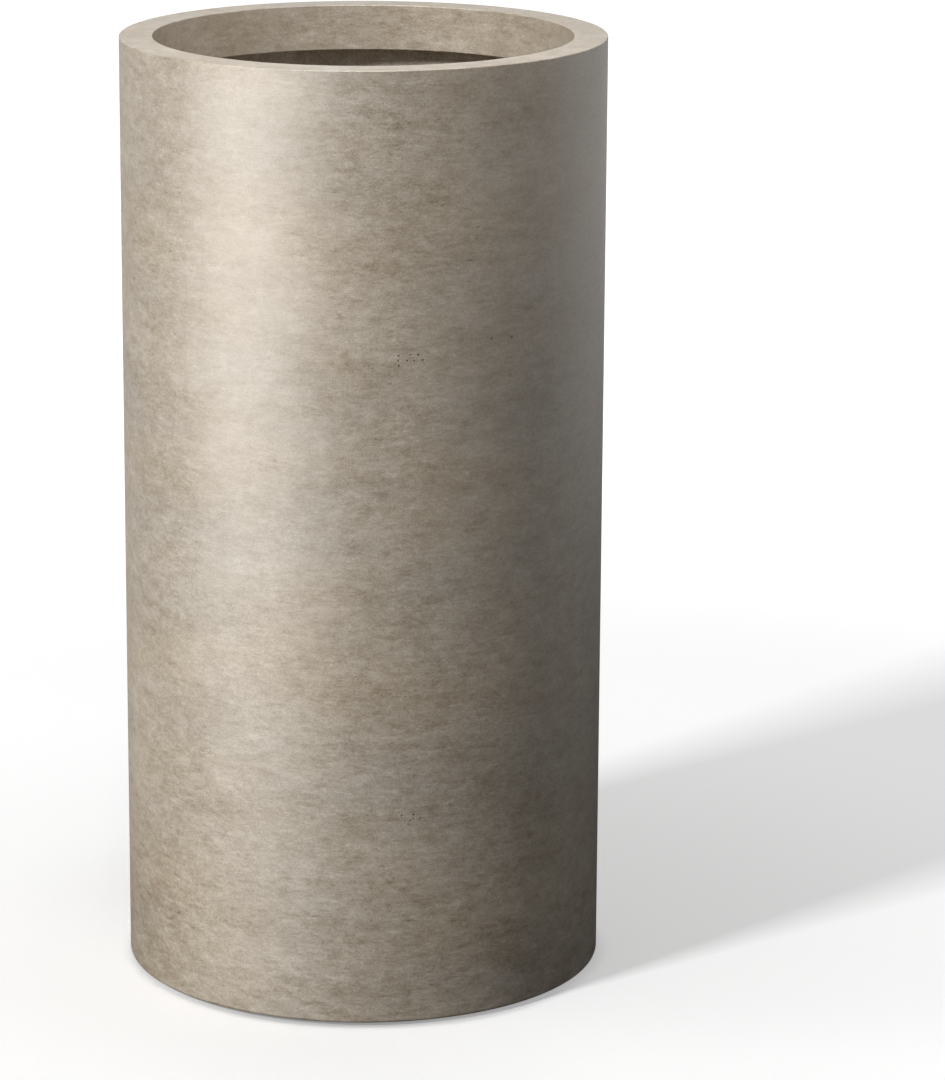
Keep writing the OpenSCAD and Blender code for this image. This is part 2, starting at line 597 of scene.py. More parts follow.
class GeometryTree(Graph):
    """Geometry Nodes tree with named inputs."""

    def __init__(self, name: str, inputs: dict[str, tuple[str, Any]]) -> None:
        """Makes an empty tree with its inputs and its one output.

        Args:
            name: The tree's name.
            inputs: Each input's name, with its socket type and what it is unless set.
        """
        tree = bpy.data.node_groups.new(name, "GeometryNodeTree")
        super().__init__(tree)
        interface = tree.interface
        interface.new_socket("Geometry", in_out="INPUT", socket_type="NodeSocketGeometry")
        self.identifiers: dict[str, str] = {}
        for label, (kind, preset) in inputs.items():
            socket = interface.new_socket(label, in_out="INPUT", socket_type=kind)
            if preset is not None:
                socket.default_value = preset
            self.identifiers[label] = socket.identifier
        interface.new_socket("Geometry", in_out="OUTPUT", socket_type="NodeSocketGeometry")
        self.given = self.add("NodeGroupInput")

    def input(self, label: str) -> Value:
        """One of the tree's named inputs."""
        return Value(self.tree, self.given.outputs[label])

    def first(self, kind: str, inputs: Inputs | None = None) -> Socket:
        """Adds one node and gives its first output."""
        return self.add(kind, None, inputs).outputs[0]

    def position(self) -> Socket:
        """Adds the position of each point."""
        return self.first("GeometryNodeInputPosition")

    def moved(self, geometry: Socket, offset: Socket) -> Socket:
        """Moves every point of a geometry."""
        return self.first("GeometryNodeSetPosition", {"Geometry": geometry, "Offset": offset})

    def end(self, geometry: Socket) -> None:
        """Ends the tree with Realize Instances and Set Material.

        Args:
            geometry: The geometry socket so far.
        """
        real = self.first("GeometryNodeRealizeInstances", {0: geometry})
        inputs = {"Geometry": real, "Material": self.input("Material")}
        self.add("NodeGroupOutput", None, {0: self.first("GeometryNodeSetMaterial", inputs)})

    def make(self, name: str, source: bpy.types.Mesh, settings: Settings) -> bpy.types.Object:
        """Runs the tree once and keeps its result as a plain mesh.

        Args:
            name: The new piece's name.
            source: The mesh that goes into the tree, which is used up.
            settings: A value for each named input that isn't left as it is.

        Returns:
            The piece, at the origin, with no modifier.
        """
        maker = placed(name + "_maker", source)
        modifier = maker.modifiers.new("make", "NODES")
        modifier.node_group = self.tree
        for label, setting in settings.items():
            modifier[self.identifiers[label]] = setting
        bpy.context.view_layer.update()
        graph = bpy.context.evaluated_depsgraph_get()
        mesh = bpy.data.meshes.new_from_object(
            maker.evaluated_get(graph), preserve_all_data_layers=True, depsgraph=graph
        )
        mesh.name = name
        maker.modifiers.remove(modifier)
        bpy.data.objects.remove(maker)
        bpy.data.meshes.remove(source)
        return placed(name, mesh)


def turning_tree() -> GeometryTree:
    """Tree that turns an outline round an upright axis, slightly uneven as if made by hand.

    Its geometry is the outline: a mesh of points in order, with radius as X and height as Z.
    Every point of the result is moved inwards by up to Wave Depth, so that the piece never
    outgrows its outline.

    Returns:
        The tree.
    """
    t = GeometryTree("turned_piece", {
        "Segments": ("NodeSocketInt", 192),
        "Wave Depth": ("NodeSocketFloat", 0.0),
        "Wave Scale": ("NodeSocketFloat", 12.0),
        "Wave Seed": ("NodeSocketFloat", 0.0),
        "Centre": ("NodeSocketVector", None),
        "Material": ("NodeSocketMaterial", None),
    })
    outline = t.given.outputs["Geometry"]
    domain = {"component": "MESH"}
    count = t.value("GeometryNodeAttributeDomainSize", domain, {0: outline}, "Point Count")
    grid = t.first("GeometryNodeMeshGrid", {
        "Size X": 1.0,
        "Size Y": 1.0,
        "Vertices X": t.input("Segments") + 1.0,
        "Vertices Y": count,
    })
    across, along, _ = t.parts(t.position())
    angle = (across + 0.5) * math.tau
    row = ((along + 0.5) * (count - 1.0)).math("ROUND")
    settings = {"data_type": "FLOAT_VECTOR", "domain": "POINT"}
    inputs = {"Geometry": outline, "Value": t.position(), "Index": row}
    radius, _, height = t.parts(t.add("GeometryNodeSampleIndex", settings, inputs).outputs[0])
    turned = t.combined(radius * angle.math("COSINE"), radius * angle.math("SINE"), height)
    place = t.vector("ADD", {0: turned, 1: t.input("Centre")})
    bent = t.first("GeometryNodeSetPosition", {"Geometry": grid, "Position": place})
    welded = t.first("GeometryNodeMergeByDistance", {"Geometry": bent, "Distance": 0.002 * MM})
    noise = t.value("ShaderNodeTexNoise", {"noise_dimensions": "4D"}, {
        "Vector": t.position(),
        "W": t.input("Wave Seed"),
        "Scale": t.input("Wave Scale"),
        "Detail": 2.0,
        "Roughness": 0.45,
    }, "Fac")
    inward = noise.limited() * t.input("Wave Depth") * -1.0
    uneven = t.moved(welded, t.scaled(t.first("GeometryNodeInputNormal"), inward))
    t.end(t.first("GeometryNodeSetShadeSmooth", {"Geometry": uneven, "Shade Smooth": True}))
    return t


def weaving_tree() -> GeometryTree:
    """Tree that weaves upright strands and level rings into a tube.

    It uses nothing of the geometry that goes in. Around is even, so that the weave closes.

    Returns:
        The tree.
    """
    t = GeometryTree("woven_tube", {
        "Radius": ("NodeSocketFloat", 0.2),
        "Bottom": ("NodeSocketFloat", 0.0),
        "Height": ("NodeSocketFloat", 0.7),
        "Around": ("NodeSocketInt", 78),
        "Rings": ("NodeSocketInt", 48),
        "Width": ("NodeSocketFloat", 2.4 * MM),
        "Thickness": ("NodeSocketFloat", 0.3 * MM),
        "Swing": ("NodeSocketFloat", 0.2 * MM),
        "Material": ("NodeSocketMaterial", None),
    })
    radius, bottom, height = t.input("Radius"), t.input("Bottom"), t.input("Height")
    around, rings = t.input("Around"), t.input("Rings")
    width, thickness = t.input("Width"), t.input("Thickness")
    place = t.position()
    x, y, z = t.parts(place)
    angle = y.math("ARCTAN2", x)
    turn = angle / math.tau * around
    level = (z - bottom) / height * rings
    outwards = t.vector("NORMALIZE", {0: t.vector("MULTIPLY", {0: place, 1: (1.0, 1.0, 0.0)})})

    def woven(strands: Socket, phase: Value, side: float) -> Socket:
        """Swings strands in and out, past the front and the back of those that cross them.

        Args:
            strands: The instances of the strand.
            phase: Where along the weave each point is, in crossings.
            side: 1 to start outwards, or -1 to start inwards.

        Returns:
            The woven strands.
        """
        real = t.first("GeometryNodeRealizeInstances", {0: strands})
        swing = (phase * math.pi).math("COSINE") * t.input("Swing") * side
        return t.moved(real, t.scaled(outwards, swing))

    bar = t.first("GeometryNodeMeshCube", {
        "Size": t.combined(thickness, width, height),
        "Vertices X": 2,
        "Vertices Y": 2,
        "Vertices Z": rings * 2.0 + 1.0,
    })
    feet = t.first("GeometryNodeMeshCircle", {"Vertices": around, "Radius": radius})
    uprights = t.first("GeometryNodeInstanceOnPoints", {
        "Points": t.moved(feet, t.combined(z=bottom + height * 0.5)),
        "Instance": bar,
        "Rotation": t.combined(z=angle),
    })
    resolution = {"Resolution": around * 2.0, "Radius": radius}
    section = {"Width": thickness, "Height": width}
    band = t.first("GeometryNodeCurveToMesh", {
        "Curve": t.first("GeometryNodeCurvePrimitiveCircle", resolution),
        "Profile Curve": t.first("GeometryNodeCurvePrimitiveQuadrilateral", section),
    })
    heights = t.first("GeometryNodeMeshLine", {
        "Count": rings + 1.0,
        "Start Location": t.combined(z=bottom),
        "Offset": t.combined(z=height / rings),
    })
    hoops = t.first("GeometryNodeInstanceOnPoints", {"Points": heights, "Instance": band})
    both = t.add("GeometryNodeJoinGeometry")
    t.tree.links.new(woven(uprights, turn.math("ROUND") + level, 1.0), both.inputs[0])
    t.tree.links.new(woven(hoops, turn + level.math("ROUND"), -1.0), both.inputs[0])
    t.end(both.outputs[0])
    return t


@dataclass(frozen=True)
class Waves:
    """Unevenness of a surface that was finished by hand.

    Attributes:
        depth: How far it goes in at most.
        scale: Waves to a metre.
        seed: Picks the pattern.
    """

    depth: float = 0.0
    scale: float = 12.0
    seed: float = 0.0


class Workshop:
    """Makes turned pieces and hangs every piece on its body."""

    def __init__(self) -> None:
        """Builds the shared tree and an empty list of materials."""
        self.turning = turning_tree()
        self.materials: dict[str, bpy.types.Material] = {}

    def paint(self, finish: Finish) -> bpy.types.Material:
        """A finish's material, built once.

        Args:
            finish: The finish.

        Returns:
            The material.
        """
        if finish.name not in self.materials:
            self.materials[finish.name] = finish.material()
        return self.materials[finish.name]

    def turned(
        self,
        name: str,
        profile: Profile,
        finish: Finish,
        segments: int,
        waves: Waves = Waves(),
        centre: Sequence[float] = (0.0, 0.0, 0.0),
    ) -> bpy.types.Object:
        """Turns a profile into a closed piece.

        Args:
            name: The piece's name.
            profile: Its outline, which ends where it starts or on the axis.
            finish: Its finish.
            segments: Faces round the axis.
            waves: Its unevenness.
            centre: The axis's place.

        Returns:
            The piece.
        """
        outline = bpy.data.meshes.new(name + "_outline")
        outline.from_pydata([(r, 0.0, z) for r, z in profile.points], [], [])
        piece = self.turning.make(name, outline, {
            "Segments": segments,
            "Wave Depth": waves.depth,
            "Wave Scale": waves.scale,
            "Wave Seed": waves.seed,
            "Centre": tuple(centre),
            "Material": self.paint(finish),
        })
        face_outwards(piece.data)
        return piece

    def fit(self, piece: bpy.types.Object, finish: Finish, body: str, node: str) -> None:
        """Hangs a piece on its body in place of its frame node.

        Args:
            piece: The finished piece.
            finish: The finish it wears. Not used.
            body: The body it moves with.
            node: The frame node it stands for.
        """
        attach(piece, body)
        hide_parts(node)
        LOG.info("%s: %d faces, on body %s", piece.name, len(piece.data.polygons), body)

    def dress(self, node: str, finish: Finish) -> None:
        """Gives a frame node a finish.

        Args:
            node: The node's name.
            finish: Its finish.
        """
        piece = frame["nodes"][node]
        piece.data.materials.clear()
        piece.data.materials.append(self.paint(finish))
        LOG.info("%s: kept from the frame, %s", node, finish.name)


def face_outwards(mesh: bpy.types.Mesh) -> None:
    """Turns the faces of a closed mesh outwards, if they point in.

    Args:
        mesh: The mesh, which is changed.
    """
    shape = bmesh.new()
    shape.from_mesh(mesh)
    if shape.calc_volume(signed=True) < 0:
        bmesh.ops.reverse_faces(shape, faces=shape.faces)
    shape.to_mesh(mesh)
    shape.free()


@dataclass(frozen=True)
class AirHoles:
    """Small air holes that were left in the cast face: a few clusters, and lone ones all round.

    Attributes:
        clusters: Azimuth in degrees from the front, height and number of holes of each.
        spread: How far the holes of a cluster lie apart, in degrees and in height.
        lone: Number of other holes.
        lone_heights: Lowest and highest of them.
        room: Largest radius, over the shorter side of a face.
        radius: Least and greatest radius, over the largest.
        depth: Least and greatest depth.
        raggedness: Least and greatest radius at a corner, over the hole's own.
        squash: Height over width.
        taper: Width of a hole's floor over its own.
        upright: Least level part of the normal of a face on the wall.
        near_wall: How far inside the wall's radius such a face may lie.
        seed: Picks places and shapes.
    """

    clusters: tuple[tuple[float, float, int], ...] = (
        (10.1, 0.567, 9), (11.6, 0.18, 7), (31.9, 0.578, 3), (160.0, 0.4, 8), (-120.0, 0.62, 5),
    )
    spread: Pair = (1.4, 3.6 * MM)
    lone: int = 26
    lone_heights: Pair = (0.03, 0.77)
    room: float = 0.48
    radius: Pair = (0.5, 0.92)
    depth: Pair = (1.2 * MM, 2.0 * MM)
    raggedness: Pair = (0.8, 1.0)
    squash: float = 0.8
    taper: float = 0.55
    upright: float = 0.99
    near_wall: float = 0.5 * MM
    seed: int = 11

    def sink(
        self, shape: bmesh.types.BMesh, face: bmesh.types.BMFace, spot: Vector, draw: random.Random
    ) -> None:
        """Cuts an uneven eight-sided hole with a floor into one four-sided face.

        Args:
            shape: The mesh, which is changed.
            face: The face.
            spot: About where the hole is meant to be.
            draw: Gives its size and unevenness.
        """
        verts, normal, middle = list(face.verts), face.normal.copy(), face.calc_center_median()
        wide, high = verts[1].co - verts[0].co, verts[2].co - verts[1].co
        right = wide.normalized()
        up = normal.cross(right)
        room = self.room * min(wide.length, high.length)
        radius = draw.uniform(*self.radius) * room
        slack = room - radius
        centre = middle
        for way in (right, up):
            centre = centre + way * max(-slack, min(slack, (spot - middle).dot(way)))
        depth = draw.uniform(*self.depth)
        rim, base = [], []
        for i in range(8):
            angle = math.radians(225.0 + 45.0 * i)
            out = right * math.cos(angle) + up * math.sin(angle) * self.squash
            out = out * radius * draw.uniform(*self.raggedness)
            rim.append(shape.verts.new(centre + out))
            base.append(shape.verts.new(centre + out * self.taper - normal * depth))
        material = face.material_index
        shape.faces.remove(face)
        loops = [
            [verts[k], verts[(k + 1) % 4], rim[(2 * k + 2) % 8], rim[2 * k + 1], rim[2 * k]]
            for k in range(4)
        ]
        loops += [[rim[i], rim[(i + 1) % 8], base[(i + 1) % 8], base[i]] for i in range(8)]
        for loop in (*loops, base):
            new = shape.faces.new(loop)
            new.material_index = material
            new.smooth = True
            new.normal_update()
        for i in range(8):
            shape.edges.get((rim[i], rim[(i + 1) % 8])).smooth = False

    def sow(self, mesh: bpy.types.Mesh, wall_r: float) -> None:
        """Sinks the holes into an upright round wall.

        Args:
            mesh: The wall's mesh, which is changed.
            wall_r: The wall's outer radius.
        """
        draw = random.Random(self.seed)
        places = [
            (azimuth + draw.gauss(0.0, self.spread[0]), height + draw.gauss(0.0, self.spread[1]))
            for azimuth, height, count in self.clusters
            for _ in range(count)
        ]
        places += [
            (draw.uniform(-180.0, 180.0), draw.uniform(*self.lone_heights))
            for _ in range(self.lone)
        ]
        shape = bmesh.new()
        shape.from_mesh(mesh)
        wall = [
            f for f in shape.faces
            if len(f.verts) == 4
            and f.normal.xy.length > self.upright
            and f.calc_center_median().xy.length > wall_r - self.near_wall
        ]
        tree = KDTree(len(wall))
        for i, face in enumerate(wall):
            tree.insert(face.calc_center_median(), i)
        tree.balance()
        taken: set[int] = set()
        for azimuth, height in places:
            a = math.radians(azimuth)
            spot = Vector((math.sin(a) * wall_r, -math.cos(a) * wall_r, height))
            index = tree.find(spot)[1]
            if index not in taken:
                taken.add(index)
                self.sink(shape, wall[index], spot, draw)
        shape.to_mesh(mesh)
        shape.free()


@dataclass
class CastShell:
    """The wall and the rim: face coat, backing wall, scrim, core and hoop.

    Attributes:
        shop: The workshop.
        edge_round: Rounding of the rim's edges.
        foot_round: Rounding of the bottom outer edge.
        row_step: Greatest height of a row of faces on the face coat, and then on the backing wall.
        core_step: Greatest width of a row of faces on the underside of the rim's core.
        segments: Faces round the face coat, and then round what is behind it.
        face_waves: Unevenness of the face coat.
        wall_waves: Unevenness of the backing wall, which was rolled by hand.
        core_waves: Unevenness of the rim's core, which was levelled by hand.
        undercut: How far the backing wall stays back just under the rim, and the heights under
            the rim to which it does so fully and at all.
        scrim_t: Thickness of the scrim.
        strand_w: Width of each of its strands.
        strand_pitch: About the distance from one strand to the next.
    """

    shop: Workshop
    edge_round: float = 0.8 * MM
    foot_round: float = 2.5 * MM
    row_step: Pair = (4.2 * MM, 5.0 * MM)
    core_step: float = 2.0 * MM
    segments: tuple[int, int] = (384, 288)
    face_waves: Waves = Waves(0.12 * MM, 9.0, 1.0)
    wall_waves: Waves = Waves(0.7 * MM, 45.0, 2.0)
    core_waves: Waves = Waves(0.5 * MM, 60.0, 3.0)
    undercut: tuple[float, float, float] = (2.5 * MM, 40.0 * MM, 90.0 * MM)
    scrim_t: float = 0.8 * MM
    strand_w: float = 2.4 * MM
    strand_pitch: float = 16.0 * MM

    def __post_init__(self) -> None:
        """Reads the radii and heights from the frame."""
        low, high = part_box("face_coat")
        self.outer_r = high.x
        self.bottom, self.top = low.z, high.z
        self.backing_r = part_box("wall_backing")[1].x
        core_low, core_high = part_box("rim_core")
        self.inner_r = core_high.x
        self.lip_z, self.core_top = core_low.z, core_high.z
        mounts = {mount["name"]: mount["dims"] for mount in frame["record"]["mounts"]}
        self.mouth_r = mounts["mouth"]["r_mm"] * MM
        self.core_r = self.mouth_r + self.outer_r - self.backing_r

    def face_coat(self) -> None:
        """Makes the fine skin over the wall, the rim and the lip, with its air holes."""
        soft, step = self.edge_round, self.row_step[0]
        outline = (
            Profile.start(self.backing_r, self.core_top)
            .line(self.backing_r, self.bottom)
            .corner(self.outer_r, self.bottom, (self.outer_r, self.top), self.foot_round)
            .corner(self.outer_r, self.top, (self.mouth_r, self.top), soft, step)
            .corner(self.mouth_r, self.top, (self.mouth_r, self.lip_z), soft, step)
            .corner(self.mouth_r, self.lip_z, (self.core_r, self.lip_z), soft, step)
            .line(self.core_r, self.lip_z)
            .line(self.core_r, self.core_top)
            .closed()
        )
        piece = self.shop.turned("face_coat_skin", outline, FACE, self.segments[0], self.face_waves)
        AirHoles().sow(piece.data, self.outer_r)
        self.shop.fit(piece, FACE, "planter", "face_coat")

    def backing(self) -> None:
        """Makes the structural wall."""
        back, full, none = self.undercut
        step = self.row_step[1]
        outline = (
            Profile.start(self.backing_r, self.core_top)
            .line(self.inner_r, self.core_top)
            .line(self.inner_r, self.lip_z, step)
            .line(self.inner_r + back, self.lip_z)
            .line(self.inner_r + back, self.lip_z - full, step)
            .line(self.inner_r, self.lip_z - none, step)
            .line(self.inner_r, self.bottom, step)
            .line(self.backing_r, self.bottom)
            .closed()
        )
        piece = self.shop.turned("backing_wall", outline, BACKING, self.segments[1], self.wall_waves)
        self.shop.fit(piece, BACKING, "planter", "wall_backing")

    def core(self) -> None:
        """Makes the ring that thickens the rim."""
        outline = (
            Profile.start(self.inner_r, self.core_top)
            .line(self.core_r, self.core_top)
            .line(self.core_r, self.lip_z)
            .line(self.inner_r, self.lip_z, self.core_step)
            .closed()
        )
        piece = self.shop.turned("rim_core_ring", outline, BACKING, self.segments[1], self.core_waves)
        self.shop.fit(piece, BACKING, "planter", "rim_core")

    def scrim(self) -> None:
        """Weaves the glass fibre scrim in the backing wall."""
        low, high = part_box("wall_scrim")
        bottom = low.z + self.strand_w / 2
        height = high.z - self.strand_w / 2 - bottom
        middle_r = high.x - self.scrim_t / 2
        piece = weaving_tree().make("woven_scrim", bpy.data.meshes.new("nothing"), {
            "Radius": middle_r,
            "Bottom": bottom,
            "Height": height,
            "Around": 2 * round(math.pi * middle_r / self.strand_pitch),
            "Rings": round(height / self.strand_pitch),
            "Width": self.strand_w,
            "Thickness": 0.4 * self.scrim_t,
            "Swing": 0.25 * self.scrim_t,
            "Material": self.shop.paint(SCRIM),
        })
        self.shop.fit(piece, SCRIM, "planter", "wall_scrim")

    def build(self) -> None:
        """Makes and dresses every piece of the wall and the rim."""
        self.face_coat()
        self.backing()
        self.core()
        self.scrim()
        self.shop.dress("rim_hoop", STEEL)


@dataclass
class Base:
    """The floor slab with its grid, mortar fillet and four feet.

    Attributes:
        shop: The workshop.
        segments: Faces round the fillet, and then round a foot.
        fillet_leg: How far the fillet reaches out and up.
        fillet_edge: Blunt edge at its top and at its toe.
        fillet_rows: Rows of faces on its hollow.
        fillet_waves: Unevenness of the fillet, which was smoothed with a finger.
        key: How far it stands in the slab, and how far it is pressed into the wall here.
        foot_bevel: Bevel round the foot's underside.
        foot_edge: Rounding of the foot's lower edges.
        foot_top: Rounding of its upper edges.
        groove: Inner radius, outer radius and depth of the groove in the foot's underside.
        stem_r: Radius of the foot's stem.
        stem_h: Height of the stem above the foot.
    """

    shop: Workshop
    segments: tuple[int, int] = (288, 96)
    fillet_leg: float = 16.0 * MM
    fillet_edge: float = 1.5 * MM
    fillet_rows: int = 16
    fillet_waves: Waves = Waves(0.6 * MM, 38.0, 4.0)
    key: float = 2.0 * MM
    foot_bevel: float = 1.0 * MM
    foot_edge: float = 0.4 * MM
    foot_top: float = 0.6 * MM
    groove: tuple[float, float, float] = (11.0 * MM, 14.0 * MM, 1.0 * MM)
    stem_r: float = 6.0 * MM
    stem_h: float = 8.0 * MM

    def fillet(self) -> None:
        """Makes the mortar fillet."""
        low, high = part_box("floor_fillet")
        wall_r, slab_top = high.x, low.z + self.key
        toe_r, top_z = wall_r - self.fillet_leg, slab_top + self.fillet_leg
        sweep = self.fillet_leg - self.fillet_edge
        outline = Profile.start(wall_r + self.key, low.z).line(wall_r + self.key, top_z)
        outline.line(toe_r + sweep, top_z)
        for i in range(1, self.fillet_rows + 1):
            angle = math.pi / 2 * i / self.fillet_rows
            outline.line(toe_r + sweep * math.cos(angle), top_z - sweep * math.sin(angle))
        outline.line(toe_r, low.z).closed()
        piece = self.shop.turned(
            "mortar_fillet", outline, MORTAR, self.segments[0], self.fillet_waves
        )
        self.shop.fit(piece, MORTAR, "planter", "floor_fillet")

    def foot(self, number: int) -> None:
        """Makes one rubber foot.

        Args:
            number: Its number.
        """
        low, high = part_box(f"foot_{number}")
        r = (high.x - low.x) / 2
        top = high.z - self.stem_h
        inner, outer, depth = self.groove
        outline = (
            Profile.start(0.0, 0.0)
            .line(inner, 0.0)
            .line(inner, depth)
            .line(outer, depth)
            .line(outer, 0.0)
            .corner(r - self.foot_bevel, 0.0, (r, self.foot_bevel), self.foot_edge)
            .corner(r, self.foot_bevel, (r, top), self.foot_edge)
            .corner(r, top, (self.stem_r, top), self.foot_top)
            .line(self.stem_r, top)
            .corner(self.stem_r, high.z, (0.0, high.z), self.foot_top)
            .line(0.0, high.z)
        )
        centre = ((low.x + high.x) / 2, (low.y + high.y) / 2, 0.0)
        name = f"foot_pad_{number}"
        piece = self.shop.turned(name, outline, FOOT_RUBBER, self.segments[1], centre=centre)
        self.shop.fit(piece, FOOT_RUBBER, "planter", f"foot_{number}")

    def build(self) -> None:
        """Makes and dresses every piece of the floor."""
        self.shop.dress("floor_slab", CAST)
        self.shop.dress("floor_grid", STEEL)
        self.fillet()
        for number in range(1, 5):
            self.foot(number)


@dataclass
class Drain:
    """The drain sleeve and the plug that lifts out of it.

    Attributes:
        shop: The workshop.
        segments: Faces round each piece.
        bore_r: Radius of the sleeve's bore.
        sleeve_t: Thickness of the sleeve.
        collar_t: Thickness of its collar.
        sleeve_edge: Rounding of its edges.
        bore_step: Greatest height of a row of faces in the bore.
        stem_r: Radius of the plug's stem.
        stem_edge: Rounding of the stem's lower edge.
        rib_r: Radius of the plug's ribs.
        ribs: Bottom and top of each rib.
        rib_slope: Height of the slope under a rib.
        rib_edge: Rounding of a rib's lower edge, and then of its upper one.
        head_z: Bottom and top of the plug's head.
        head_edge: Rounding of the head's lower edge, and then of its upper one.
        tab_w: Width of the pull tab.
        tab_t: Thickness of the pull tab.
        tab_sunk: How far the tab reaches down into the head.
        tab_edge: Rounding of the edges of its two sides.
        tab_steps: Faces on the tab's round top.
    """

    shop: Workshop
    segments: int = 128
    bore_r: float = 13.0 * MM
    sleeve_t: float = 2.0 * MM
    collar_t: float = 1.5 * MM
    sleeve_edge: float = 0.35 * MM
    bore_step: float = 5.0 * MM
    stem_r: float = 11.75 * MM
    stem_edge: float = 1.0 * MM
    rib_r: float = 12.95 * MM
    ribs: tuple[Pair, ...] = ((19.667 * MM, 22.667 * MM), (26.333 * MM, 29.333 * MM))
    rib_slope: float = 0.8 * MM
    rib_edge: Pair = (0.5 * MM, 0.3 * MM)
    head_z: Pair = (33.0 * MM, 37.0 * MM)
    head_edge: Pair = (0.4 * MM, 2.0 * MM)
    tab_w: float = 18.0 * MM
    tab_t: float = 5.0 * MM
    tab_sunk: float = 2.0 * MM
    tab_edge: float = 1.0 * MM
    tab_steps: int = 32

    def sleeve(self) -> None:
        """Makes the lining of the drain hole with its collar."""
        low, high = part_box("drain_sleeve")
        tube_r, soft = self.bore_r + self.sleeve_t, self.sleeve_edge
        under = high.z - self.collar_t
        outline = (
            Profile.start(tube_r, under)
            .corner(high.x, under, (high.x, high.z), soft)
            .corner(high.x, high.z, (self.bore_r, high.z), soft)
            .corner(self.bore_r, high.z, (self.bore_r, low.z), soft)
            .corner(self.bore_r, low.z, (tube_r, low.z), soft, self.bore_step)
            .corner(tube_r, low.z, (tube_r, under), soft)
            .closed()
        )
        piece = self.shop.turned("sleeve_lining", outline, SLEEVE_PLASTIC, self.segments)
        self.shop.fit(piece, SLEEVE_PLASTIC, "planter", "drain_sleeve")

    def plug(self) -> None:
        """Makes the stopper with its sealing ribs and its head."""
        low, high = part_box("drain_plug")
        under, top = self.head_z
        outline = Profile.start(0.0, low.z)
        outline.corner(self.stem_r, low.z, (self.stem_r, under), self.stem_edge)
        for rib_low, rib_high in self.ribs:
            slope_z = rib_low + self.rib_slope
            outline.line(self.stem_r, rib_low)
            outline.corner(self.rib_r, slope_z, (self.rib_r, rib_high), self.rib_edge[0])
            outline.corner(self.rib_r, rib_high, (self.stem_r, rib_high), self.rib_edge[1])
            outline.line(self.stem_r, rib_high)
        outline.line(self.stem_r, under)
        outline.corner(high.x, under, (high.x, top), self.head_edge[0])
        outline.corner(high.x, top, (0.0, top), self.head_edge[1]).line(0.0, top)
        piece = self.shop.turned("plug_body", outline, PLUG_RUBBER, self.segments)
        self.shop.fit(piece, PLUG_RUBBER, "plug", "drain_plug")

    def tab(self) -> None:
        """Makes the round-topped tab that the plug is pulled out by."""
        top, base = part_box("drain_plug")[1].z, self.head_z[1] - self.tab_sunk
        half = self.tab_w / 2
        outline = [(-half, base), (half, base)]
        for i in range(self.tab_steps + 1):
            angle = math.pi * i / self.tab_steps
            outline.append((half * math.cos(angle), top - half + half * math.sin(angle)))
        shape = bmesh.new()
        side = shape.faces.new([shape.verts.new((-self.tab_t / 2, y, z)) for y, z in outline])
        swept = bmesh.ops.extrude_face_region(shape, geom=[side], use_keep_orig=True)["geom"]
        moved = [v for v in swept if isinstance(v, bmesh.types.BMVert)]
        bmesh.ops.translate(shape, verts=moved, vec=(self.tab_t, 0.0, 0.0))
        edges = [e for e in shape.edges if e.verts[0].co.x == e.verts[1].co.x]
        bmesh.ops.bevel(
            shape, geom=edges, offset=self.tab_edge, segments=4, profile=0.5, affect="EDGES"
        )
        bmesh.ops.recalc_face_normals(shape, faces=shape.faces)
        mesh = bpy.data.meshes.new("plug_tab")
        for face in shape.faces:
            face.smooth = True
        shape.to_mesh(mesh)
        shape.free()
        mesh.materials.append(self.shop.paint(PLUG_RUBBER))
        self.shop.fit(placed("plug_tab", mesh), PLUG_RUBBER, "plug", "drain_plug")

    def build(self) -> None:
        """Makes and dresses the sleeve and the plug."""
        self.sleeve()
        self.plug()
        self.tab()


@dataclass(frozen=True)
class Softbox:
    """Area lamp that faces the planter.

    Attributes:
        name: The lamp's name.
        azimuth: Degrees round the planter from its front, positive to its right.
        elevation: Degrees above the level of its target.
        distance: Distance from its target, in metres.
        target_z: Height of its target.
        width: Width in metres.
        height: Height in metres.
        power: Power in watts.
        colour: Colour of the light.
        spread: Angle of the beam in degrees.
        floor_lit: False if the lamp leaves the floor as it is.
    """

    name: str
    azimuth: float
    elevation: float
    distance: float
    target_z: float
    width: float
    height: float
    power: float
    colour: Colour = WHITE
    spread: float = 180.0
    floor_lit: bool = False

    def build(self, kept_dark: bpy.types.Collection) -> None:
        """Adds the lamp to the scene.

        Args:
            kept_dark: What a lamp that leaves the floor alone doesn't light.
        """
        lamp = bpy.data.lights.new(self.name, "AREA")
        lamp.shape = "RECTANGLE"
        lamp.size = self.width
        lamp.size_y = self.height
        lamp.energy = self.power
        lamp.color = self.colour
        lamp.spread = math.radians(self.spread)
        holder = placed(self.name, lamp)
        a, e = math.radians(self.azimuth), math.radians(self.elevation)
        away = Vector((math.sin(a) * math.cos(e), -math.cos(a) * math.cos(e), math.sin(e)))
        holder.location = Vector((0.0, 0.0, self.target_z)) + away * self.distance
        holder.rotation_mode = "QUATERNION"
        holder.rotation_quaternion = away.to_track_quat("Z", "Y")
        if not self.floor_lit:
            holder.light_linking.receiver_collection = kept_dark


LAMPS = (
    Softbox("key", -48.3, 33.0, 12.0, 0.4, 1.5, 1.5, 660.0, floor_lit=True),
    Softbox("side", -52.1, 0.0, 1.922, 0.357, 1.814, 0.677, 18.0),
    Softbox("rear_right", 117.5, 4.4, 2.6, 0.45, 0.8, 1.4, 0.94, (0.87, 0.94, 1.0)),
    Softbox("hood", 0.0, 66.0, 0.8, 0.8, 0.32, 0.24, 0.84, spread=60.0),
)


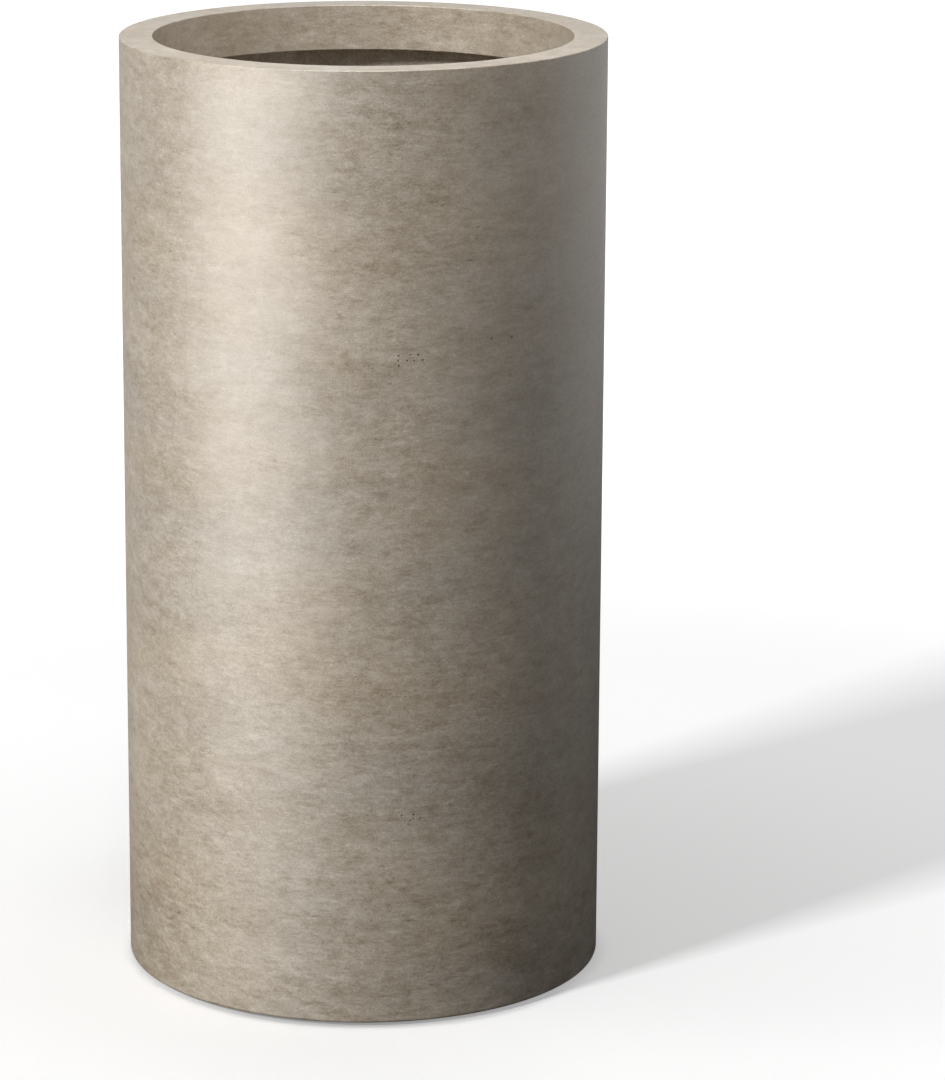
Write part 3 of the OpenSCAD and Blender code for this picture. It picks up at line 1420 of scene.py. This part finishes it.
def rays(g: Graph) -> tuple[Value, Value]:
    """Tells what looks at a surface.

    Args:
        g: The graph to add to.

    Returns:
        1 for camera rays, and 1 for reflected and transmitted ones.
    """
    path = g.add("ShaderNodeLightPath").outputs
    camera, glossy, through = (
        Value(g.tree, path[name]) for name in ("Is Camera Ray", "Is Glossy Ray", "Is Transmission Ray")
    )
    return camera, (glossy + through).limited()


def round_about(g: Graph, place: Socket, levels: Sequence[float]) -> Value:
    """Brightness that depends on the direction from the planter's axis.

    Args:
        g: The graph to add to.
        place: The place, or the direction.
        levels: Brightness from straight behind the planter round past its left, its front and
            its right to straight behind it again, in steps of equal angle.

    Returns:
        The brightness.
    """
    x, y, _ = g.parts(place)
    turn = x.math("ARCTAN2", y * -1.0) / math.tau + 0.5
    ramp = g.add("ShaderNodeValToRGB", None, {"Fac": turn})
    stops = ramp.color_ramp.elements
    while len(stops) < len(levels):
        stops.new(0.5)
    for i, level in enumerate(levels):
        stops[i].position = i / (len(levels) - 1)
        stops[i].color = rgba((level, level, level))
    return Value(g.tree, ramp.outputs[0])


@dataclass(frozen=True)
class Rise:
    """Brightness that rises smoothly from one place to another.

    Attributes:
        amount: The whole rise.
        start: Where it begins.
        end: Where it is whole. It may be less than start.
    """

    amount: float
    start: float
    end: float

    def over(self, place: Value) -> Value:
        """The rise, over one measure of the place."""
        return self.amount * place.ramp(self.start, self.end)


@dataclass(frozen=True)
class PaleFloor:
    """Plain pale floor, which shows white and keeps the shadow.

    Far is the distance from the planter's axis, X the place to its right, and Y behind it.

    Attributes:
        size: Width of the floor.
        seen: Brightness of its colour to the camera.
        unseen: Brightness of its colour to all else, so that it throws little light up.
        even: Its glow everywhere.
        glow_x: Rise of the glow over X: painted light to the right, which also lightens the cast
            shadow.
        glow_far: Rises of the glow over Far: painted light further out, which also lightens the cast
            shadow.
        glow_corners: Rises over X and over Y, whose product is added to the glow.
        wider_x: How much wider the painted contact shadow is to the right, over X.
        contact: The painted contact shadow round the planter's foot, over Far.
        under_edge: How much of it is light again under the planter's bottom edge, over Far.
        beside_x: Where the painted contact shadow fades out on either side, over X.
        beside: How much of it is gone there.
        foot_dim: Painted shade close to the foot: what the glow loses there, over Far, and where on X
            it
        does.
        far_levels: How bright the floor is far out in reflections, as in round_about.
        far_out: Rise of that over Far.
        behind: Patch behind the planter's left in reflections, over X, Y and Far.
    """

    size: float = 24.0
    seen: float = 1.12
    unseen: float = 0.1
    even: float = 0.365
    glow_x: Rise = Rise(0.025, -0.1, 0.2)
    glow_far: tuple[Rise, Rise] = (Rise(0.075, 0.26, 0.8), Rise(0.3, 0.9, 2.0))
    glow_corners: tuple[tuple[Rise, Rise], ...] = (
        (Rise(0.035, -0.2, -0.26), Rise(1.0, -0.2, 0.1)),
        (Rise(0.035, 0.1, 0.22), Rise(1.0, -0.12, -0.3)),
    )
    wider_x: Rise = Rise(0.003, 0.0, 0.1)
    contact: Rise = Rise(0.57, 0.2125, 0.2)
    under_edge: Rise = Rise(0.46, 0.2015, 0.1965)
    beside_x: tuple[Rise, Rise] = (Rise(1.0, 0.12, 0.19), Rise(1.0, -0.08, -0.18))
    beside: float = 0.75
    foot_dim: tuple[Rise, Rise] = (Rise(0.065, 0.42, 0.22), Rise(1.0, 0.15, -0.05))
    far_levels: tuple[float, ...] = (0.5, 0.5, 0.4, 0.2, 0.2, 0.5, 0.9, 0.8, 0.5)
    far_out: Rise = Rise(1.0, 0.8, 5.0)
    behind: tuple[Rise, Rise, Rise] = (
        Rise(0.24, -0.2, -0.45), Rise(1.0, 0.0, 0.3), Rise(1.0, 3.2, 1.5),
    )

    def glow(self, g: ShaderGraph) -> Value:
        """Works out the floor's own glow.

        Args:
            g: The floor's graph.

        Returns:
            Its strength.
        """
        camera, mirrored = rays(g)
        far = g.value("ShaderNodeVectorMath", {"operation": "LENGTH"}, {0: g.place}, "Value")
        x, y, _ = g.parts(g.place)
        # Painted contact shadow: the glow is dimmed round the planter's foot, less so under its bottom
        # edge and beside it.
        from_edge = far - self.wider_x.over(x)
        shade = self.contact.over(from_edge) - self.under_edge.over(from_edge)
        beside = self.beside_x[0].over(x) + self.beside_x[1].over(x)
        painted_contact_shading = 1.0 - shade * (1.0 - self.beside * beside)
        # Painted light: the glow rises to the right and further out, which also lightens the cast
        # shadow there.
        fill = self.even + self.glow_x.over(x)
        for rise in self.glow_far:
            fill = fill + rise.over(far)
        for over_x, over_y in self.glow_corners:
            fill = fill + over_x.over(x) * over_y.over(y)
        # Painted shade: the glow is dimmed close to the planter's foot, except on its right.
        seen = painted_contact_shading * fill - self.foot_dim[0].over(far) * self.foot_dim[1].over(x)
        mirror = round_about(g, g.place, self.far_levels) * self.far_out.over(far)
        left, back, near = self.behind
        mirror = mirror + left.over(x) * back.over(y) * near.over(far)
        return camera * seen + mirrored * mirror

    def build(self, kept_dark: bpy.types.Collection) -> None:
        """Lays the floor.

        Args:
            kept_dark: Takes the floor, for the lamps that leave it alone.
        """
        g = ShaderGraph("pale_floor")
        greys = (rgba((level, level, level)) for level in (self.unseen, self.seen))
        plain, lit = (
            g.add("ShaderNodeBsdfDiffuse", None, {"Color": grey}).outputs[0] for grey in greys
        )
        inputs = {0: rays(g)[0], 1: plain, 2: lit}
        matt = g.add("ShaderNodeMixShader", None, inputs).outputs[0]
        inputs = {"Color": rgba(WHITE), "Strength": self.glow(g)}
        glow = g.add("ShaderNodeEmission", None, inputs).outputs[0]
        both = g.add("ShaderNodeAddShader", None, {0: matt, 1: glow}).outputs[0]
        g.add("ShaderNodeOutputMaterial", None, {"Surface": both})
        half = self.size / 2
        mesh = bpy.data.meshes.new("floor")
        corners = [(-half, -half, 0.0), (half, -half, 0.0), (half, half, 0.0), (-half, half, 0.0)]
        mesh.from_pydata(corners, [], [(0, 1, 2, 3)])
        mesh.materials.append(g.material)
        floor = placed("floor", mesh)
        kept_dark.objects.link(floor)
        kept_dark.collection_objects[0].light_linking.link_state = "EXCLUDE"


@dataclass
class Studio:
    """Pale floor, soft lamps, even light all round and the camera.

    Attributes:
        frame_w: The photograph's width in pixels.
        frame_h: The photograph's height in pixels.
        axis_px: The pixel column of the planter's axis in the photograph.
        lens_mm: Focal length on a 36 mm sensor.
        camera_distance: Level distance from the axis to the camera.
        camera_z: Height of the camera.
        pitch: Degrees that the camera looks down.
        clip: Nearest and farthest that the camera sees.
        dim: Strength of the even light.
        walls: How bright the room's walls are in reflections, as in round_about.
    """

    frame_w: int = 945
    frame_h: int = 1080
    axis_px: float = 363.45
    lens_mm: float = 151.4
    camera_distance: float = 3.7572
    camera_z: float = 1.3429
    pitch: float = 14.58
    clip: Pair = (0.1, 60.0)
    dim: float = 0.23
    walls: tuple[float, ...] = (0.7, 0.5, 0.1, 0.1, 0.0, 0.0, 0.2, 0.3, 0.7)

    def camera(self) -> None:
        """Places the camera as the photograph's."""
        lens = bpy.data.cameras.new("camera")
        lens.sensor_width = 36.0
        lens.lens = self.lens_mm
        lens.shift_x = (self.frame_w / 2 - self.axis_px) / self.frame_h
        lens.clip_start, lens.clip_end = self.clip
        holder = placed("camera", lens)
        holder.location = (0.0, -self.camera_distance, self.camera_z)
        holder.rotation_euler = (math.radians(90.0 - self.pitch), 0.0, 0.0)
        bpy.context.scene.camera = holder

    def world(self) -> None:
        """Dim even light all round, seen as white."""
        world = bpy.data.worlds.new("studio")
        world.use_nodes = True
        g = Graph(world.node_tree)
        camera, mirrored = rays(g)
        direction = g.add("ShaderNodeTexCoord").outputs["Generated"]
        dim, white = (
            g.add("ShaderNodeBackground", None, {"Color": rgba(WHITE), "Strength": level}).outputs[0]
            for level in (self.dim, camera + mirrored * round_about(g, direction, self.walls))
        )
        inputs = {0: (camera + mirrored).limited(), 1: dim, 2: white}
        mixed = g.add("ShaderNodeMixShader", None, inputs).outputs[0]
        g.add("ShaderNodeOutputWorld", None, {"Surface": mixed})
        bpy.context.scene.world = world

    def build(self) -> None:
        """Sets up the camera, the floor, the world and the lamps."""
        kept_dark = bpy.data.collections.new("kept_dark")
        self.camera()
        PaleFloor().build(kept_dark)
        self.world()
        for lamp in LAMPS:
            lamp.build(kept_dark)
        bpy.context.scene.view_settings.view_transform = "Standard"
        LOG.info("studio: %d lamps", len(LAMPS))


def main() -> None:
    """Builds the planter piece by piece, and then the studio round it."""
    logging.basicConfig(level=logging.INFO, format="%(name)s: %(message)s")
    shop = Workshop()
    for assembly in (CastShell(shop), Base(shop), Drain(shop)):
        assembly.build()
    Studio().build()


if __name__ == "__main__":
    main()
